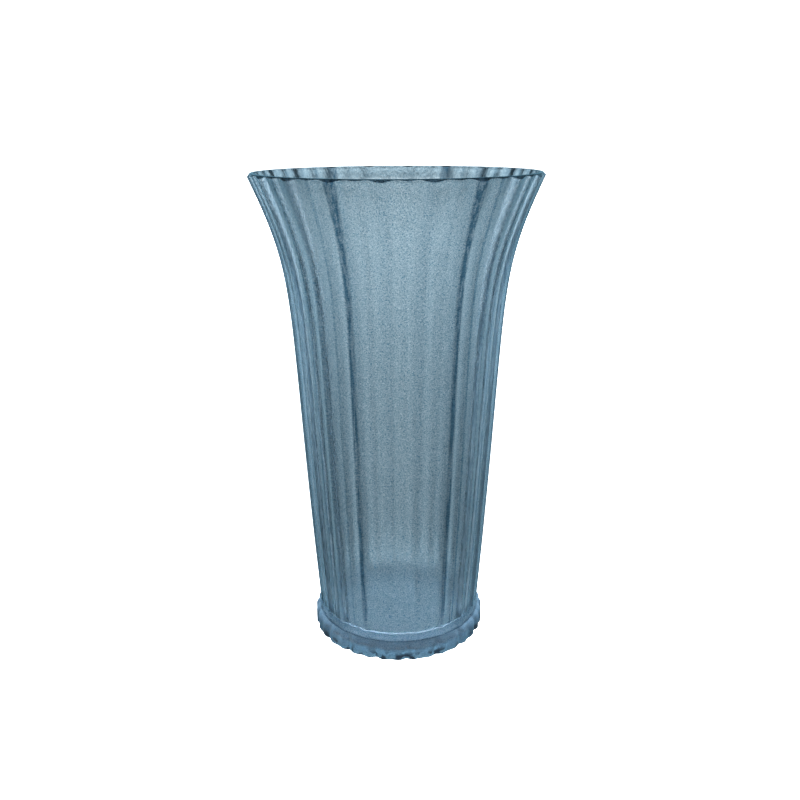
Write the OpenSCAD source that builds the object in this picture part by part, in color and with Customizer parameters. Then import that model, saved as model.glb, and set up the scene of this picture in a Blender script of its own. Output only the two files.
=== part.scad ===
// Flared glass vase: a ribbed bowl seated in the shallow socket of a notched foot.
// The origin is the centre of the foot on the table. Every length is in millimetres.

/* [Overall] */
// Height from the table to the top of the rim
height = 255; // [235:1:280]
// Diameter over the main ribs at the rim, before the rim is bevelled
mouth_d = 152; // [140:1:165]
// Diameter over the main ribs where the bowl leaves the foot
waist_d = 91; // [86:1:94]

/* [Side outline] */
// Diameter that the lower side leans out towards
lean_d = 120; // [110:1:126]
// Height of that diameter, as a share of the vase's height
lean_at = 0.8; // [0.75:0.01:0.85]
// Diameter that the flare springs from
flare_d = 102; // [96:1:110]
// Height of that diameter, as a share of the vase's height
flare_at = 0.77; // [0.72:0.01:0.82]

/* [Ribs] */
// Main ribs around the bowl, with one low rib between each two
rib_count = 20; // [12:4:28]
// Swing of the main ribs, as a share of the radius
main_swing = 0.008; // [0.002:0.001:0.012]
// Swing of the main and low ribs together, as a share of the radius
low_swing = 0.008; // [0.002:0.001:0.012]

/* [Wall] */
// Wall thickness under a main rib at the rim
rim_wall = 5; // [4:0.5:8]
// Wall thickness under a main rib near the floor
base_wall = 6; // [5:0.5:9]
// Height of the inside floor above the table
floor_z = 11; // [10:1:24]
// Radius of the corner between the floor and the wall
floor_corner = 3; // [2:1:12]
// Bevel around the outside of the rim, measured at a main rib
rim_bevel = 2.2; // [1:0.1:3]

/* [Foot] */
// Diameter of the foot over its knobs
foot_d = 97.4; // [96:0.2:104]
// Height of the foot
foot_h = 10; // [8:1:12]
// Diameter of the socket that holds the bowl's seat
socket_d = 86; // [70:1:88]
// Depth of the socket
socket_depth = 6; // [3:0.5:7]
// Notches around the edge of the foot
notch_count = 36; // [24:4:48]
// Diameter of the grinding wheel that cuts a notch
notch_d = 6; // [4:0.5:8]
// Depth of a notch
notch_depth = 1.1; // [0.5:0.1:1.6]
// Rounding of the foot's upper and lower edge
foot_round = 1.6; // [0.8:0.2:3]
// Diameter of the ground hollow under the foot
hollow_d = 76; // [50:1:80]
// Depth of that hollow
hollow_depth = 1.2; // [0.5:0.1:1.8]

/* [Hidden] */
glass_colour = [0.50, 0.62, 0.68];
smooth = 180; // facets of a full circle on round surfaces
over = 1; // how far a cutter runs past what it cuts
around = 6 * rib_count; // points around one ring of the ribbed skin
side_steps = 16; // rings up the ribbed skin, below the bevel
bevel_steps = 3; // further rings across the bevel
cavity_steps = 24; // bands up the cavity
corner_steps = 6; // bands around the corner of the floor
bevel_share = 0.4 * rim_bevel / (height - flare_at * height); // the bevel's share of the curve

// Control points of the outer side and of the cavity's side: radius, height
outer_side = [
  [waist_d / 2, foot_h],
  [lean_d / 2, lean_at * height],
  [flare_d / 2, flare_at * height],
  [mouth_d / 2, height]
];
cavity_side = [
  [waist_d / 2 - base_wall, floor_z + floor_corner],
  [lean_d / 2 - base_wall, lean_at * height],
  [flare_d / 2 - rim_wall, flare_at * height],
  [mouth_d / 2 - rim_wall, height]
];

// A point on a cubic Bezier curve with control points p, at t from 0 to 1
function bezier(p, t) =
  pow(1 - t, 3) * p[0] + 3 * pow(1 - t, 2) * t * p[1] + 3 * (1 - t) * t * t * p[2] + pow(t, 3) * p[3];

// The skin's share of the outline's radius at angle a: 1 on a main rib, less beside it
function rib_share(a) =
  1 - main_swing * (1 - cos(rib_count * a)) - low_swing * (1 - cos(2 * rib_count * a));

// The 45 degree bevel's radius at height z
function bevel_r(z) = mouth_d / 2 - rim_bevel + height - z;

// How far along the outer side ring j lies
function ring_t(j) =
  j < side_steps
    ? j / side_steps
    : 1 - bevel_share * (1 - (j - side_steps) / bevel_steps);

// One ring of the ribbed skin, at an outline point [radius, height]
function skin_ring(p) = [
  for (i = [0 : around - 1])
    let (a = 360 * i / around, r = min(p[0] * rib_share(a), bevel_r(p[1])))
      [r * cos(a), r * sin(a), p[1]]
];

// The ribbed skin as a closed solid, from the top of the foot to the bevelled rim
module ribbed_skin() {
  last = side_steps + bevel_steps;
  points = [for (j = [0 : last]) each skin_ring(bezier(outer_side, ring_t(j)))];
  sides = [
    for (j = [0 : last - 1])
      for (i = [0 : around - 1])
        let (n = (i + 1) % around)
          [j * around + i, (j + 1) * around + i, (j + 1) * around + n, j * around + n]
  ];
  bottom = [for (i = [0 : around - 1]) i];
  top = [for (i = [around - 1 : -1 : 0]) last * around + i];
  polyhedron(points, concat(sides, [bottom, top]), convexity = 4);
}

// The hollow for the water and the flowers, with a rounded corner at its floor
module cavity() {
  low = cavity_side[0];
  corner = [
    for (k = [0 : corner_steps])
      let (a = -90 + 90 * k / corner_steps)
        [low[0] - floor_corner * (1 - cos(a)), low[1] + floor_corner * sin(a)]
  ];
  side = [for (k = [1 : cavity_steps]) bezier(cavity_side, k / cavity_steps)];
  mouth = cavity_side[3];
  rotate_extrude($fn = smooth)
    polygon(concat(
      [[0, floor_z]],
      corner,
      side,
      [[mouth[0], height + over], [0, height + over]]
    ));
}

// The bowl: ribbed outside, smooth inside, on a round seat that fills the foot's socket
module bowl() {
  color(glass_colour)
    difference() {
      union() {
        ribbed_skin();
        translate([0, 0, foot_h - socket_depth])
          cylinder(h = socket_depth, d = socket_d, $fn = smooth);
      }
      cavity();
    }
}

// The foot's turned blank, with a rounded upper and lower edge
module foot_blank() {
  r = foot_d / 2;
  steps = 6;
  lower = [
    for (k = [0 : steps])
      let (a = -90 + 90 * k / steps)
        [r - foot_round * (1 - cos(a)), foot_round * (1 + sin(a))]
  ];
  upper = [
    for (k = [0 : steps])
      let (a = 90 * k / steps)
        [r - foot_round * (1 - cos(a)), foot_h - foot_round * (1 - sin(a))]
  ];
  rotate_extrude($fn = smooth)
    polygon(concat([[0, 0]], lower, upper, [[0, foot_h]]));
}

// The notches ground around the foot's edge, which leave a row of knobs
module notches() {
  for (i = [0 : notch_count - 1])
    rotate([0, 0, 360 * (i + 0.5) / notch_count])
      translate([foot_d / 2 - notch_depth + notch_d / 2, 0, -over])
        cylinder(h = foot_h + 2 * over, d = notch_d, $fn = 24);
}

// The foot: a notched disc with a socket on top and a ground hollow below
module foot() {
  color(glass_colour)
    difference() {
      foot_blank();
      notches();
      translate([0, 0, foot_h - socket_depth])
        cylinder(h = socket_depth + over, d = socket_d, $fn = smooth);
      translate([0, 0, -over])
        cylinder(h = over + hollow_depth, d = hollow_d, $fn = smooth);
    }
}

bowl();
foot();
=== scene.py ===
"""Looks for the flared ribbed glass vase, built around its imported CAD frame. All lengths are in metres."""
import math

import bpy
import numpy as np
from mathutils import Matrix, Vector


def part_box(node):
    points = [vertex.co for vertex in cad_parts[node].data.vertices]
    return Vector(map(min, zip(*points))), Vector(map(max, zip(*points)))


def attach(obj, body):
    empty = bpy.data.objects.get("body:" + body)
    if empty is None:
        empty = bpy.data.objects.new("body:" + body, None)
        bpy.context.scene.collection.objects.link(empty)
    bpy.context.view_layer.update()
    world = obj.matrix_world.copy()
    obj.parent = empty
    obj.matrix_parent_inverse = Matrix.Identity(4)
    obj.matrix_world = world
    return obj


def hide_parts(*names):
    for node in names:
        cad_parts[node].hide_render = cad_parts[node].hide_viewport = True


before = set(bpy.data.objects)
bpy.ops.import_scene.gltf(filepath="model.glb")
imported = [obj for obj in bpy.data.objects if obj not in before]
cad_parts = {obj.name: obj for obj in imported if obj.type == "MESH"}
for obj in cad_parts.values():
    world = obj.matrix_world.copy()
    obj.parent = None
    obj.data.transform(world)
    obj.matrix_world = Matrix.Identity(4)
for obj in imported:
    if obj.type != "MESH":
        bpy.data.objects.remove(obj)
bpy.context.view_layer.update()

MM = 0.001

# --- sizes, from the frame's boxes where the frame has them ----------------------------------------
bowl_low, bowl_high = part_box("bowl")
foot_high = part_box("foot")[1]
HEIGHT = bowl_high.z
FOOT_TOP = foot_high.z
FOOT_R = foot_high.x
SEAT_Z = bowl_low.z

MOUTH_R = 76 * MM              # over the main ribs at the rim, before the bevel
WAIST_R = 45.5 * MM            # over the main ribs where the bowl leaves the foot
LEAN_R, LEAN_Z = 60 * MM, 0.8 * HEIGHT
FLARE_R, FLARE_Z = 51 * MM, 0.77 * HEIGHT
BASE_WALL, RIM_WALL = 6 * MM, 5 * MM
FLOOR_Z, FLOOR_CORNER = 11 * MM, 3 * MM
RIM_BEVEL = 2.2 * MM
LIP_ROUND = 0.5 * MM           # rounding of the rim's inner edge
SEAT_R, SEAT_ROUND = 43 * MM, 0.6 * MM
SUNK = 0.1 * MM                # how far the bowl's underside lies below the top of the foot

RIBS = 20                      # main ribs, with a low rib between each two
MAIN_SWING = 0.0065            # swing of the main ribs, as a share of the radius
LOW_SWING = 0.0065             # swing of the main and low ribs together
RIB_START = 0.35               # the share of their swing that the ribs have on the foot
RIB_FADE = 5 * MM              # the height over which they grow to all of it
FILLET, FILLET_H = 0.8 * MM, 7 * MM    # width and height of the glass that flows from bowl to foot

AROUND = 480                   # points around every ring of the bowl
SKIN_T = np.concatenate([              # rings up the skin: closer at the foot and at the rim
    np.linspace(0, 0.08, 30)[:-1],
    np.linspace(0.08, 0.975, 80)[:-1],
    np.linspace(0.975, 1, 36),
])
CAVITY_T = np.linspace(0.99, 0, 70)
OUTER_SIDE = np.array([
    [WAIST_R, FOOT_TOP],
    [LEAN_R, LEAN_Z],
    [FLARE_R, FLARE_Z],
    [MOUTH_R, HEIGHT],
])
CAVITY_SIDE = np.array([
    [WAIST_R - BASE_WALL, FLOOR_Z + FLOOR_CORNER],
    [LEAN_R - BASE_WALL, LEAN_Z],
    [FLARE_R - RIM_WALL, FLARE_Z],
    [MOUTH_R - RIM_WALL, HEIGHT],
])

NOTCHES = 36                   # around the edge of the foot
NOTCH_DEPTH = 1.1 * MM
FOOT_ROUND, LOWER_ROUND = 2.6 * MM, 0.8 * MM
HOLLOW_R, HOLLOW_DEPTH = 38 * MM, 1.2 * MM
HOLLOW_EDGE = 1 * MM           # how far inside the resting ring the hollow's rounding is centred
LEDGE = (45.6 * MM, 44.5 * MM, 43.3 * MM)    # rings across the foot's top, from its edge inwards
SOCKET_GAP = 0.05 * MM         # how far the socket's surface lies inside the bowl's seat
FOOT_AROUND = 720              # points around every ring of the foot


def bezier(points, t):
    """Points on a cubic Bezier curve at every t."""
    t = np.asarray(t, float)[:, None]
    a, b, c, d = points
    return (1 - t) ** 3 * a + 3 * (1 - t) ** 2 * t * b + 3 * (1 - t) * t * t * c + t ** 3 * d


def rib_share(angle, depth=1.0):
    """The skin's share of the outline's radius: 1 on a main rib, less beside it. depth 0 has no ribs."""
    main = MAIN_SWING * (1 - np.cos(RIBS * angle))
    low = LOW_SWING * (1 - np.cos(2 * RIBS * angle))
    return 1 - depth * (main + low)


def soft_min(a, b, rounding):
    """The smaller of two numbers, rounded where they cross."""
    return np.minimum(a, b) - rounding * np.log1p(np.exp(-np.abs(a - b) / rounding))


def arc(centre, radius, start, end, steps):
    """Points on an arc in the radius-height plane, angles in degrees from the radial direction."""
    turn = np.radians(np.linspace(start, end, steps + 1))
    return [(centre[0] + radius * math.cos(a), centre[1] + radius * math.sin(a)) for a in turn]


def around_circle(count):
    """The angles of a ring's points, with their cosines and sines."""
    angle = np.arange(count) * 2 * math.pi / count
    return angle, np.cos(angle), np.sin(angle)


def mesh_from_rings(name, rings, low_pole, high_pole):
    """A closed mesh: rings of equal length joined by quads, with a pole of triangles at each end."""
    rows, around = len(rings), len(rings[0])
    points = [tuple(p) for ring in rings for p in ring] + [low_pole, high_pole]
    faces = []
    for j in range(rows - 1):
        for i in range(around):
            n = (i + 1) % around
            faces.append((j * around + i, j * around + n, (j + 1) * around + n, (j + 1) * around + i))
    start, end = rows * around, rows * around + 1
    last = (rows - 1) * around
    for i in range(around):
        n = (i + 1) % around
        faces.append((start, n, i))
        faces.append((end, last + i, last + n))
    mesh = bpy.data.meshes.new(name)
    mesh.from_pydata(points, [], faces)
    mesh.validate()
    mesh.update()
    for p in mesh.polygons:
        p.use_smooth = True
    thing = bpy.data.objects.new(name, mesh)
    bpy.context.scene.collection.objects.link(thing)
    return thing


# --- the bowl --------------------------------------------------------------------------------------
def make_bowl():
    """The bowl: from under the seat, up the ribbed skin, over the rim and down the cavity to the floor."""
    angle, cos, sin = around_circle(AROUND)
    rings = []

    def add(radius, height):
        radius = np.broadcast_to(radius, angle.shape)
        height = np.broadcast_to(height, angle.shape)
        rings.append(np.stack([radius * cos, radius * sin, height], axis=1))

    for share in (0.3, 0.6, 0.85):
        add(SEAT_R * share, SEAT_Z)
    for r, z in arc((SEAT_R - SEAT_ROUND, SEAT_Z + SEAT_ROUND), SEAT_ROUND, -90, 0, 4):
        add(r, z)
    add(SEAT_R, FOOT_TOP - 2 * MM)
    add(SEAT_R, FOOT_TOP - SUNK)
    add(SEAT_R + 0.8 * MM, FOOT_TOP - SUNK)
    for r, z in bezier(OUTER_SIDE, SKIN_T):
        depth = RIB_START + (1 - RIB_START) * np.clip((z - FOOT_TOP) / RIB_FADE, 0, 1)
        bevel = MOUTH_R - RIM_BEVEL + HEIGHT - z
        flow = FILLET * max(1 - (z - FOOT_TOP) / FILLET_H, 0) ** 2
        add(soft_min(r * rib_share(angle, depth) + flow, np.full_like(angle, bevel), 0.1 * MM), z)
    top_r = MOUTH_R - RIM_BEVEL
    inner_r = MOUTH_R - RIM_WALL
    for r in (top_r - 0.3 * MM, (top_r + inner_r) / 2, inner_r + LIP_ROUND):
        add(r, HEIGHT)
    for r, z in arc((inner_r + LIP_ROUND, HEIGHT - LIP_ROUND), LIP_ROUND, 90, 180, 4)[1:]:
        add(r, z)
    for r, z in bezier(CAVITY_SIDE, CAVITY_T):
        add(r, z)
    low_r, low_z = CAVITY_SIDE[0]
    for r, z in arc((low_r - FLOOR_CORNER, low_z), FLOOR_CORNER, 0, -90, 10)[1:]:
        add(r, z)
    for share in (0.75, 0.45, 0.2):
        add((low_r - FLOOR_CORNER) * share, FLOOR_Z)
    return mesh_from_rings("bowl_glass", rings, (0, 0, SEAT_Z), (0, 0, FLOOR_Z))


# --- the foot --------------------------------------------------------------------------------------
def make_foot():
    """The foot: from the hollow underneath, around the notched edge and over to its socket's middle."""
    angle, cos, sin = around_circle(FOOT_AROUND)
    notch = (0.5 + 0.5 * np.cos(NOTCHES * angle + math.pi)) ** 0.8
    uneven = 0.85 + 0.35 * np.sin(7 * angle + 1) * np.sin(11 * angle + 2) + 0.25 * np.sin(17 * angle)
    rings = []

    def add(radius, height, notched=0.0):
        r = radius - NOTCH_DEPTH * notched * (1 - notch) * uneven
        rings.append(np.stack([r * cos, r * sin, np.full_like(angle, height)], axis=1))

    for share in (0.3, 0.6, 0.9):
        add(HOLLOW_R * share, HOLLOW_DEPTH)
    for r, z in arc((HOLLOW_R - HOLLOW_EDGE, 0.0), HOLLOW_DEPTH, 90, 20, 4):
        add(r, z)
    for r in (HOLLOW_R + 0.3 * MM, HOLLOW_R + 3 * MM):
        add(r, 0)
    for r, z in arc((FOOT_R - LOWER_ROUND, LOWER_ROUND), LOWER_ROUND, -90, 0, 8):
        add(r, z, 1.0)
    for z in np.linspace(LOWER_ROUND, FOOT_TOP - FOOT_ROUND, 10)[1:-1]:
        add(FOOT_R, z, 1.0)
    for r, z in arc((FOOT_R - FOOT_ROUND, FOOT_TOP - FOOT_ROUND), FOOT_ROUND, 0, 90, 8):
        add(r, z, 1.0)
    for r in LEDGE:
        add(r, FOOT_TOP)
    socket_r = SEAT_R - SOCKET_GAP
    socket_z = SEAT_Z + SOCKET_GAP
    add(socket_r, FOOT_TOP - 0.3 * MM)
    add(socket_r, SEAT_Z + SEAT_ROUND)
    for r, z in arc((socket_r - 0.5 * MM, socket_z + 0.5 * MM), 0.5 * MM, 0, -90, 4)[1:]:
        add(r, z)
    for share in (0.8, 0.5, 0.2):
        add(socket_r * share, socket_z)
    return mesh_from_rings("foot_glass", rings, (0, 0, HOLLOW_DEPTH), (0, 0, socket_z))


# --- looks of the glass ----------------------------------------------------------------------------
CLEAR = (1.0, 1.0, 1.0)
TINT = (0.372, 0.452, 0.480)   # what the bowl's surfaces let through, apart from the glass's depth
FOOT_TINT = (0.028, 0.075, 0.105)     # the same for the foot's edge
DEPTH_COLOUR = (0.07, 0.30, 0.46)
BOWL_DENSITY, FOOT_DENSITY = 60, 130
TINT_GRAIN, GRAIN_SIZE = 0.60, 2000   # how much the tint varies from grain to grain; noise scale
IOR = 1.5
ROUGH_OUT, ROUGH_IN = 0.04, 0.3       # clear outside, frosted inside
FOOT_ROUGH, GROUND_ROUGH = 0.4, 0.8
SURFACE_BUMP = 0.00016         # depth of the faint upright waves in every surface
BUMP_NOISE = 800, 3.0, 0.02    # scale, detail and squash along the height of a drawn-out noise
PATCH_NOISE = 700, 3.0, 0.015
STREAK_NOISE = 1800, 2.0, 0.01

# A tone is a strength of the tint: 1 leaves the glass as it is, less makes it darker and bluer.
MAIN_RIB_SHADE, LOW_RIB_SHADE = 0.09, 0.40      # painted shade: the dark band along a main rib, and the thin line along a low one
# painted shade: a dark rim, and fine dark streaks on the two sides
RIM_SHADE, SIDE_STREAK_SHADE = 0.22, 0.55
RIM_LEAVING = 0.35             # the share of the rim's painted shade that light gets as it leaves the glass
# the foot: darker low on its edge, painted shade at its sides, and dark chips along the bottom
FOOT_EDGE_TONE, FOOT_SIDE_SHADE, CHIP_TONE = 0.30, 0.15, 0.005
LIP_SHADE_COLOUR = (0.128, 0.178, 0.207)    # painted shade: what the inside of the lip lets through

# The painted shade and light vary with how far off the front a place lies: 0 at the front and the back, 1 at
# the sides.
FRONT = math.radians(-84.74)   # the way the front faces, just past the rib on -Y
BAND_FROM, BAND_FULL = 0.035, 0.066
BAND_EASES, BAND_EASED = 0.147, 0.369    # where a band starts to grow faint again, and where it has
BAND_FRONT, BAND_SIDE = 0.08, 0.3        # the shares of a band at the front and at the sides
LINE_FROM, LINE_FULL = 0.055, 0.197
SIDE_FROM, SIDE_FULL = 0.147, 0.324
FOOT_SIDE_FROM, FOOT_SIDE_FULL = 0.12, 0.5
PAINTED_SIDE_SHADE, PAINTED_SIDE_LIGHT = 0.60, 1.26         # painted shade on the sides near the foot, and painted light on them near the rim

# A wave runs around the bowl, 1 on every main rib and -1 on every low one.
BAND_EDGE, BAND_CORE = 0.68, 0.94
LINE_EDGE, LINE_CORE = -0.94, -0.99
BAND_END = 14 * MM             # height at which the bands end above the foot
BAND_WIDER, BAND_NARROWER = 0.12, -0.2   # added to the wave near the rim and near the foot


def tone(strength):
    """The tint's own colour at a strength: below 1 darker and bluer, above 1 paler."""
    return strength ** 1.42, strength, strength ** 0.8, 1


def nodes_of(material):
    """A material's node tree and its shader."""
    material.use_nodes = True
    tree = material.node_tree
    return tree, tree.nodes["Principled BSDF"]


def node(tree, kind, **values):
    """A new node with its properties set."""
    made = tree.nodes.new(kind)
    for name, value in values.items():
        setattr(made, name, value)
    return made


def math_node(tree, operation, *inputs):
    """A Math node whose inputs are numbers or sockets; gives its output."""
    made = node(tree, "ShaderNodeMath", operation=operation)
    for i, value in enumerate(inputs):
        if isinstance(value, (int, float)):
            made.inputs[i].default_value = value
        else:
            tree.links.new(value, made.inputs[i])
    return made.outputs[0]


def product(tree, a, b):
    """Two numbers or sockets multiplied."""
    return math_node(tree, "MULTIPLY", a, b)


def multiply(tree, a, b):
    """Two colours or vectors multiplied channel by channel."""
    made = node(tree, "ShaderNodeVectorMath", operation="MULTIPLY")
    for socket, value in zip(made.inputs, (a, b)):
        if isinstance(value, tuple):
            socket.default_value = value
        else:
            tree.links.new(value, socket)
    return made.outputs[0]


def object_place(tree):
    """A point's place on the object, as a vector and as its X, Y and Z."""
    place = node(tree, "ShaderNodeTexCoord").outputs["Object"]
    parts = node(tree, "ShaderNodeSeparateXYZ")
    tree.links.new(place, parts.inputs[0])
    return place, parts.outputs


def noise(tree, vector, scale, detail):
    """A noise's value."""
    made = node(tree, "ShaderNodeTexNoise")
    tree.links.new(vector, made.inputs["Vector"])
    made.inputs["Scale"].default_value = scale
    made.inputs["Detail"].default_value = detail
    return made.outputs["Fac"]


def drawn_out(tree, place, scale, detail, squash):
    """A noise whose grain is drawn out along the height."""
    return noise(tree, multiply(tree, place, (1, 1, squash)), scale, detail)


def remap(tree, value, low, high, to_low, to_high):
    """A number taken from one range to another, and held at its ends."""
    made = node(tree, "ShaderNodeMapRange")
    tree.links.new(value, made.inputs["Value"])
    for name, number in (("From Min", low), ("From Max", high), ("To Min", to_low), ("To Max", to_high)):
        made.inputs[name].default_value = number
    return made.outputs["Result"]


def ramp(tree, value, stops):
    """A colour ramp through (position, colour) stops."""
    made = node(tree, "ShaderNodeValToRGB")
    elements = made.color_ramp.elements
    while len(elements) < len(stops):
        elements.new(0.5)
    for element, (position, colour) in zip(elements, stops):
        element.position = position
        element.color = colour
    tree.links.new(value, made.inputs["Fac"])
    return made.outputs["Color"]


def marked(tree, name):
    """The number from 0 to 1 that the mesh carries on its points under this name."""
    return remap(tree, node(tree, "ShaderNodeAttribute", attribute_name=name).outputs["Fac"], 0, 1, 0, 1)


def blend(tree, amount, first, second):
    """The first colour where amount is 0, the second where it is 1."""
    made = node(tree, "ShaderNodeMix", data_type="RGBA")
    tree.links.new(amount, made.inputs["Factor"])
    made.inputs["A"].default_value = (*first, 1)
    made.inputs["B"].default_value = (*second, 1)
    return made.outputs["Result"]


def toned(tree, amount, strength):
    """White where amount is 0, the tint's tone of this strength where it is 1."""
    return blend(tree, amount, CLEAR, tone(strength)[:3])


def off_front(tree, parts):
    """How far a point lies around the vase from its front or its back: 0 there, 1 half-way between them."""
    across = product(tree, parts["X"], math.cos(FRONT))
    along = product(tree, parts["Y"], math.sin(FRONT))
    forward = math_node(tree, "ABSOLUTE", math_node(tree, "ADD", across, along))
    squares = [product(tree, parts[axis], parts[axis]) for axis in ("X", "Y")]
    radius = math_node(tree, "SQRT", math_node(tree, "ADD", *squares))
    return math_node(tree, "SUBTRACT", 1.0, math_node(tree, "DIVIDE", forward, radius))


def painted_rib_shade(tree, place, parts, off):
    """Painted shade: dark bands along the main ribs and thin lines along the low ones, patchy, and ending
    above the foot.
    """
    turn = math_node(tree, "ARCTAN2", parts["Y"], parts["X"])
    wave = math_node(tree, "COSINE", product(tree, turn, float(RIBS)))
    above_foot = remap(tree, parts["Z"], BAND_END, BAND_END + 4 * MM, 0, 1)
    patches = remap(tree, drawn_out(tree, place, *PATCH_NOISE), 0.4, 0.55, 0.7, 1)
    extent = product(tree, product(tree, marked(tree, "skin"), above_foot), patches)
    band_here = remap(tree, off, BAND_FROM, BAND_FULL, BAND_FRONT, 1)
    band_here = product(tree, band_here, remap(tree, off, BAND_EASES, BAND_EASED, 1, BAND_SIDE))
    line_here = remap(tree, off, LINE_FROM, LINE_FULL, BAND_FRONT, 1)
    wider = remap(tree, parts["Z"], HEIGHT - 30 * MM, HEIGHT - 4 * MM, 0, BAND_WIDER)
    narrower = remap(tree, parts["Z"], BAND_END, BAND_END + 14 * MM, BAND_NARROWER, 0)
    width = math_node(tree, "ADD", math_node(tree, "ADD", wave, wider), narrower)
    band = remap(tree, width, BAND_EDGE, BAND_CORE, 0, 1)
    band = toned(tree, product(tree, band, product(tree, extent, band_here)), MAIN_RIB_SHADE)
    line = remap(tree, wave, LINE_EDGE, LINE_CORE, 0, 1)
    line = toned(tree, product(tree, line, product(tree, extent, line_here)), LOW_RIB_SHADE)
    return multiply(tree, band, line)


def painted_side_light_and_shade(tree, place, parts, off):
    """Painted shade and light on the two sides: fine dark streaks, darker near the foot and lighter near the
    rim.
    """
    side = product(tree, marked(tree, "skin"), remap(tree, off, SIDE_FROM, SIDE_FULL, 0, 1))
    fine = remap(tree, drawn_out(tree, place, *STREAK_NOISE), 0.46, 0.58, 0, 1)
    streaks = toned(tree, product(tree, side, fine), SIDE_STREAK_SHADE)
    lighter = remap(tree, parts["Z"], 40 * MM, 180 * MM, PAINTED_SIDE_SHADE - 1, PAINTED_SIDE_LIGHT - 1)
    return multiply(tree, streaks, math_node(tree, "ADD", product(tree, lighter, side), 1.0))


def painted_rim_and_lip_shade(tree, parts):
    """Painted shade: a dark rim, and a darker inside of the lip where light enters the glass from the cavity.
    """
    leaving = node(tree, "ShaderNodeNewGeometry").outputs["Backfacing"]
    entering = math_node(tree, "SUBTRACT", 1.0, leaving)
    lip = remap(tree, parts["Z"], HEIGHT - 12 * MM, HEIGHT - 6 * MM, 0, 1)
    lip = product(tree, lip, product(tree, entering, marked(tree, "cavity")))
    rim = product(tree, remap(tree, entering, 0, 1, RIM_LEAVING, 1), marked(tree, "rim"))
    return multiply(tree, blend(tree, lip, CLEAR, LIP_SHADE_COLOUR), toned(tree, rim, RIM_SHADE))


def bowl_painted_light_and_shade(tree, place, parts):
    """All of the bowl's painted shade and light together."""
    off = off_front(tree, parts)
    skin = multiply(tree, painted_rib_shade(tree, place, parts, off), painted_side_light_and_shade(tree, place, parts, off))
    return multiply(tree, skin, painted_rim_and_lip_shade(tree, parts))


def foot_tones(tree, place, parts):
    """The foot's tones: darker low on its edge, painted shade at its sides, and dark chips along the bottom.
    """
    skin = marked(tree, "skin")
    edge = product(tree, skin, remap(tree, parts["Z"], 3 * MM, 9 * MM, 1, 0))
    side = remap(tree, off_front(tree, parts), FOOT_SIDE_FROM, FOOT_SIDE_FULL, 0, 1)
    side = toned(tree, product(tree, side, edge), FOOT_SIDE_SHADE)
    chips = remap(tree, noise(tree, place, 210, 4.0), 0.49, 0.56, 0, 1)
    low = remap(tree, parts["Z"], 3 * MM, 8 * MM, 1, 0)
    chips = toned(tree, product(tree, product(tree, chips, low), skin), CHIP_TONE)
    return multiply(tree, multiply(tree, toned(tree, edge, FOOT_EDGE_TONE), side), chips)


def glass_material(name, tint, density, tones):
    """Tinted glass: the tint is partly on its surfaces and partly in its depth, and tones vary it, mostly
    painted shade and light.
    """
    material = bpy.data.materials.new(name)
    tree, shader = nodes_of(material)
    place, parts = object_place(tree)
    grain = noise(tree, place, GRAIN_SIZE, 1.0)
    grain = ramp(tree, grain, ((0.3, tone(1 - TINT_GRAIN)), (0.7, tone(1 + TINT_GRAIN))))
    colour = multiply(tree, blend(tree, marked(tree, "tinted"), CLEAR, tint), grain)
    colour = multiply(tree, colour, tones(tree, place, parts))
    bump = node(tree, "ShaderNodeBump")
    bump.inputs["Distance"].default_value = SURFACE_BUMP
    bump.inputs["Strength"].default_value = 1.0
    tree.links.new(drawn_out(tree, place, *BUMP_NOISE), bump.inputs["Height"])
    tree.links.new(bump.outputs["Normal"], shader.inputs["Normal"])
    tree.links.new(colour, shader.inputs["Base Color"])
    tree.links.new(marked(tree, "rough"), shader.inputs["Roughness"])
    shader.inputs["Transmission Weight"].default_value = 1.0
    shader.inputs["IOR"].default_value = IOR
    depth = node(tree, "ShaderNodeVolumeAbsorption")
    depth.inputs["Color"].default_value = (*DEPTH_COLOUR, 1)
    depth.inputs["Density"].default_value = density
    tree.links.new(depth.outputs[0], tree.nodes["Material Output"].inputs["Volume"])
    return material


# --- marks on the meshes, which the materials read -------------------------------------------------
WALL_OUT = bezier(OUTER_SIDE, np.linspace(0, 1, 100))
WALL_IN = bezier(CAVITY_SIDE, np.linspace(0, 1, 100))
WALL_Z = WALL_OUT[:, 1]
SKIN_R = WALL_OUT[:, 0]
MID_WALL_R = (SKIN_R * 0.97 + np.interp(WALL_Z, WALL_IN[:, 1], WALL_IN[:, 0])) / 2
HAIR = 0.1 * MM                # a height too small to see, which tells touching surfaces apart


def mark(piece, name, value_at):
    """A number on each point of a mesh, for its material."""
    layer = piece.data.attributes.new(name, "FLOAT", "POINT")
    for v in piece.data.vertices:
        layer.data[v.index].value = value_at(v.co)


def from_axis(co):
    """A point's distance from the vase's axis."""
    return math.hypot(co.x, co.y)


def in_cavity(co):
    """1 on the inside of the bowl, up to the middle of the rim."""
    if co.z < FLOOR_Z - HAIR:
        return 0.0
    return 1.0 if from_axis(co) < np.interp(co.z, WALL_Z, MID_WALL_R) else 0.0


def in_air(co):
    """1 on all of the bowl's surface but its seat."""
    return 1.0 if co.z > FOOT_TOP - HAIR / 2 or in_cavity(co) else 0.0


def on_skin(co):
    """1 on the ribbed outside and the rim, 0 on the cavity and the seat."""
    return in_air(co) * (1 - in_cavity(co))


def on_rim(co):
    """1 on the bevel and the top of the rim, 0 on the ribs below."""
    if co.z < HEIGHT - 6 * MM or in_cavity(co):
        return 0.0
    ribbed = np.interp(co.z, WALL_Z, SKIN_R) * rib_share(math.atan2(co.y, co.x))
    bevel = MOUTH_R - RIM_BEVEL + HEIGHT - co.z
    return float(np.clip((ribbed - bevel) / (0.3 * MM) + 0.5, 0, 1))


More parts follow.
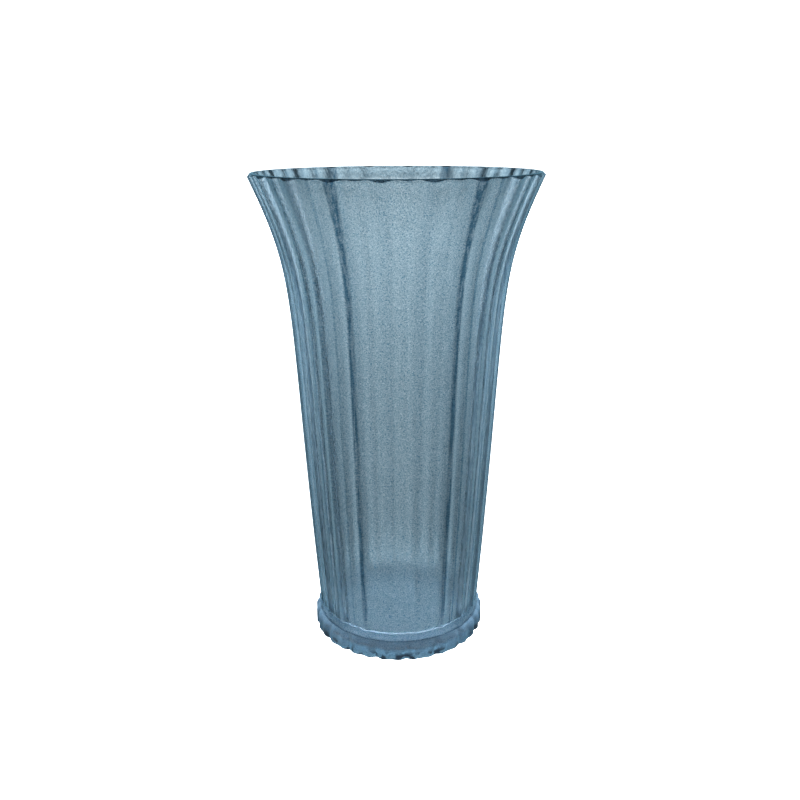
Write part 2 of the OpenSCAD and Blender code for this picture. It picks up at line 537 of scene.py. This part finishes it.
def bowl_roughness(co):
    """Clear outside, frosted inside and ground where it sits in the foot."""
    if not in_air(co):
        return GROUND_ROUGH
    return ROUGH_IN if in_cavity(co) else ROUGH_OUT


def on_foot_edge(co):
    """1 on the notched edge and the ledge, 0 underneath and in the socket."""
    return 1.0 if from_axis(co) > SEAT_R + 1 * MM and co.z > HAIR else 0.0


def foot_tinted(co):
    """Full tint on the foot's edge, a little less on its top, none underneath and in the socket."""
    if from_axis(co) < SEAT_R + 0.5 * MM or co.z < HAIR:
        return 0.0
    return float(np.interp(co.z, (FOOT_TOP - 3.5 * MM, FOOT_TOP - 0.5 * MM), (1.0, 0.94)))


def foot_roughness(co):
    """Satin on the edge, ground underneath and in the socket."""
    return FOOT_ROUGH if on_foot_edge(co) else GROUND_ROUGH


BOWL_MARKS = {
    "rough": bowl_roughness,
    "skin": on_skin,
    "cavity": in_cavity,
    "rim": on_rim,
    "tinted": in_air,
}
FOOT_MARKS = {"rough": foot_roughness, "skin": on_foot_edge, "tinted": foot_tinted}

bowl = make_bowl()
foot = make_foot()
for piece, marks in ((bowl, BOWL_MARKS), (foot, FOOT_MARKS)):
    for name, value_at in marks.items():
        mark(piece, name, value_at)
bowl.data.materials.append(glass_material("bowl_glass", TINT, BOWL_DENSITY, bowl_painted_light_and_shade))
foot.data.materials.append(glass_material("foot_glass", FOOT_TINT, FOOT_DENSITY, foot_tones))
for piece, node_name, slot in ((bowl, "bowl", "bowl_glass"), (foot, "foot", "foot_glass")):
    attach(piece, "root")
    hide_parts(node_name)


# --- stage, light and camera -----------------------------------------------------------------------
FLOOR_SIDE = 12.0              # half the floor's width
FLOOR_DROP = 0.2 * MM          # how far the floor lies below the foot, to keep the two apart
GLOW_REACH = 6.0               # distance from the vase at the end of the glow's ramp
GLOW_UNIT = 20                 # glow at the top of the ramp's scale
FLOOR_GLOW = (                 # distance from the vase, and the floor's glow there
    (0.0, 4.8), (0.034, 4.8), (0.045, 4.6), (0.053, 5.3), (0.06, 4.1),
    (0.07, 3.4), (0.085, 2.9), (0.11, 2.05), (0.3, 2.2), (0.7, 2.65),
    (1.5, 3.7), (2.5, 5.3), (3.1, 4.6), (3.6, 3.3), (4.4, 1.9))
GLOW_HUE = (0.95, 1.0, 1.03)   # hue of the glow where it is far above white
SKY_LEVEL, SKY_LOW, SKY_HIGH = 2.4, 1.05, 0.8    # brightness at the horizon, above it and overhead
MIRRORED = (0.08, 0.17, 0.23)  # the surroundings that mirror reflections see

CAM_TURN = math.radians(5.26)
CAM_BACK = 452.9 * MM
CAM_ABOVE_RIM = 20.3 * MM
CAM_PITCH = math.radians(17.42)
CAM_ROLL = math.radians(-0.3)
CAM_LENS = 38.81
CAM_SHIFT = 0.002875


def glow_colour(strength):
    """The floor's glow as a colour on the ramp's scale: white where faint, of the glow's hue where strong."""
    share = min(max(strength - 1, 0) / 1.5, 1)
    return (*[strength / GLOW_UNIT * (1 + (c - 1) * share) for c in GLOW_HUE], 1)


def make_floor():
    """A pale floor that glows, so that it lights the glass from below like a light table."""
    mesh = bpy.data.meshes.new("floor")
    corners = [(x * FLOOR_SIDE, y * FLOOR_SIDE, 0) for x, y in ((-1, -1), (1, -1), (1, 1), (-1, 1))]
    mesh.from_pydata(corners, [], [(0, 1, 2, 3)])
    floor = bpy.data.objects.new("floor", mesh)
    floor.location.z = -FLOOR_DROP
    bpy.context.scene.collection.objects.link(floor)
    material = bpy.data.materials.new("pale_floor")
    tree, shader = nodes_of(material)
    far = node(tree, "ShaderNodeVectorMath", operation="LENGTH")
    tree.links.new(object_place(tree)[0], far.inputs[0])
    reach = math_node(tree, "DIVIDE", far.outputs["Value"], GLOW_REACH)
    stops = [(distance / GLOW_REACH, glow_colour(strength)) for distance, strength in FLOOR_GLOW]
    tree.links.new(ramp(tree, reach, stops), shader.inputs["Emission Color"])
    shader.inputs["Emission Strength"].default_value = GLOW_UNIT
    shader.inputs["Base Color"].default_value = (0.2, 0.2, 0.2, 1)
    shader.inputs["Roughness"].default_value = 0.5
    floor.data.materials.append(material)
    floor.visible_glossy = False


def make_world():
    """A white studio, brightest at the horizon, and dim where it is mirrored in the glass."""
    world = bpy.data.worlds.new("studio")
    bpy.context.scene.world = world
    world.use_nodes = True
    tree = world.node_tree
    back = tree.nodes["Background"]
    parts = node(tree, "ShaderNodeSeparateXYZ")
    tree.links.new(node(tree, "ShaderNodeTexCoord").outputs["Generated"], parts.inputs[0])
    above = parts.outputs["Z"]
    haze = remap(tree, above, 0.02, 0.3, SKY_LEVEL - SKY_LOW, 0)
    sky = math_node(tree, "ADD", haze, remap(tree, above, 0.45, 0.9, SKY_LOW, SKY_HIGH))
    tree.links.new(sky, back.inputs["Strength"])
    mirrored = node(tree, "ShaderNodeLightPath").outputs["Is Glossy Ray"]
    tree.links.new(blend(tree, mirrored, CLEAR, MIRRORED), back.inputs["Color"])


def make_camera():
    """The camera: in front of the vase, a little above its rim, and looking down at it."""
    data = bpy.data.cameras.new("camera")
    camera = bpy.data.objects.new("camera", data)
    bpy.context.scene.collection.objects.link(camera)
    data.sensor_width = 36
    data.lens = CAM_LENS
    data.shift_x = CAM_SHIFT
    data.clip_start, data.clip_end = 0.01, 50
    place = Matrix.Rotation(CAM_TURN, 4, "Z") @ Matrix.Translation((0, -CAM_BACK, HEIGHT + CAM_ABOVE_RIM))
    aim = Matrix.Rotation(math.pi / 2 - CAM_PITCH, 4, "X") @ Matrix.Rotation(CAM_ROLL, 4, "Z")
    camera.matrix_world = place @ aim
    bpy.context.scene.camera = camera


make_floor()
make_world()
make_camera()
bpy.context.scene.view_settings.view_transform = "Standard"
